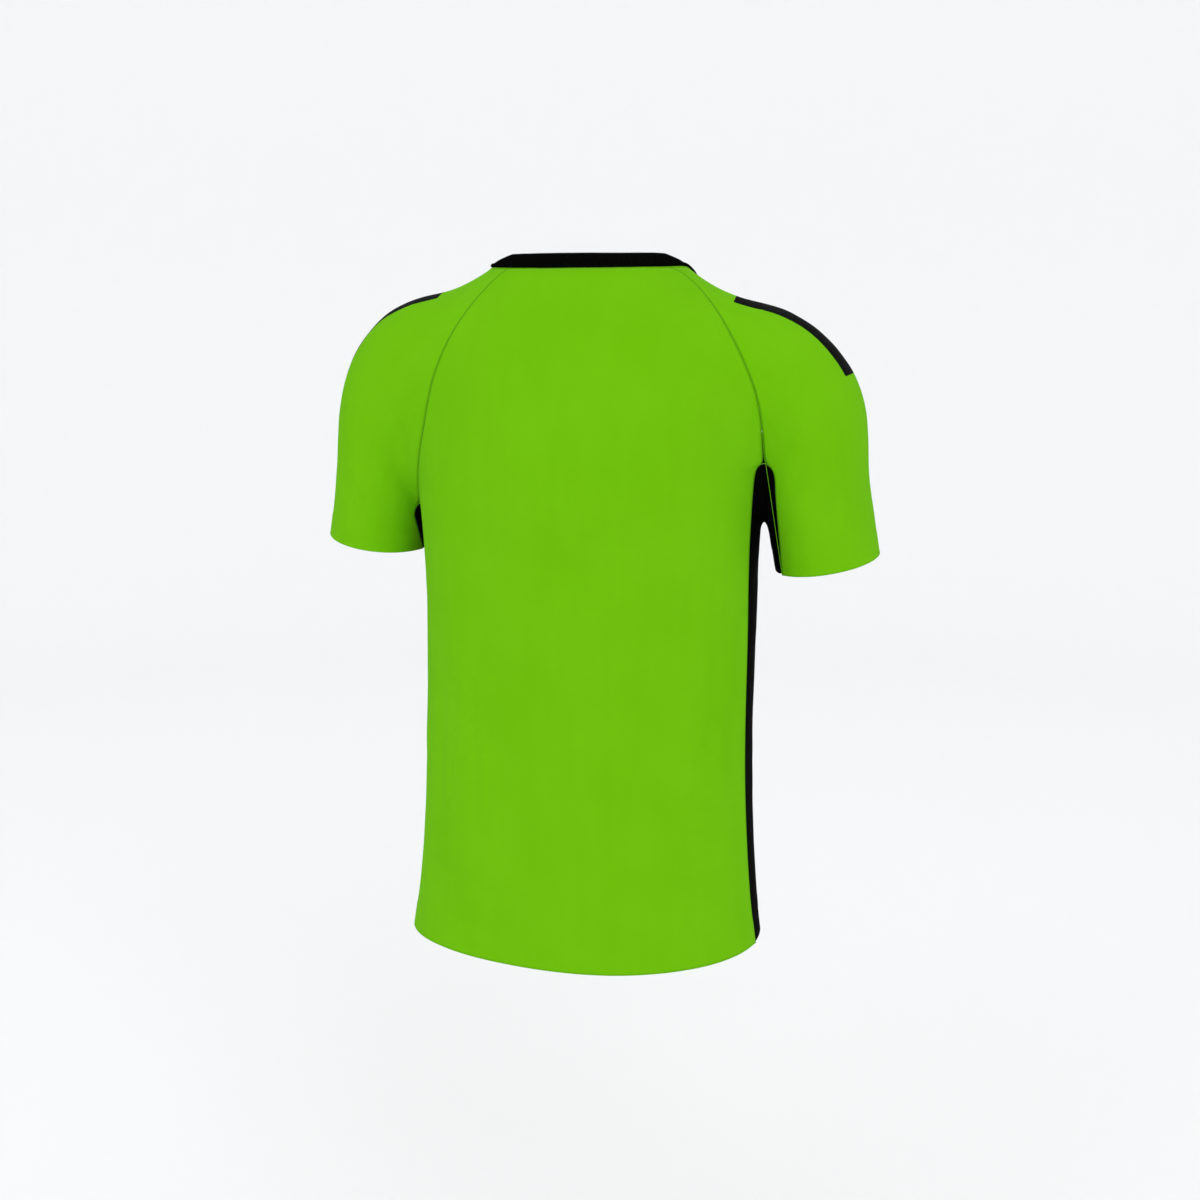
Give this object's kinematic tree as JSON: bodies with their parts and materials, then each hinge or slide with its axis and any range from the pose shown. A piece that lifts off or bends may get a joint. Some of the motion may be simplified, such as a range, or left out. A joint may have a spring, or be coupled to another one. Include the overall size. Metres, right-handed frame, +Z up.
{
  "type": "football jersey",
  "caption": "Short-sleeved raglan football jersey with a ribbed crew neck and dark side panels that run on under the sleeves, filled out as if worn, with no wearer",
  "frame": {"origin": "middle of the neck opening at the height where the neck band is sewn on at the back, between the shoulders that hold the jersey up", "axes": "+Z up, -Y towards the front of the jersey, +X towards the wearer's left"},
  "size_m": [0.5654, 0.2422, 0.6774],
  "materials": {
    "lime_knit": "lime green fine polyester interlock knit with a very soft sheen",
    "black_knit": "black polyester knit, dull",
    "black_rib": "black polyester one-by-one rib knit, dull"
  },
  "bodies": {
    "root": {"back": "lime_knit", "front": "lime_knit", "sleeve_left": "lime_knit", "sleeve_right": "lime_knit", "side_panel_left": "black_knit", "side_panel_right": "black_knit", "neck_band": "black_rib"}
  },
  "joints": []
}
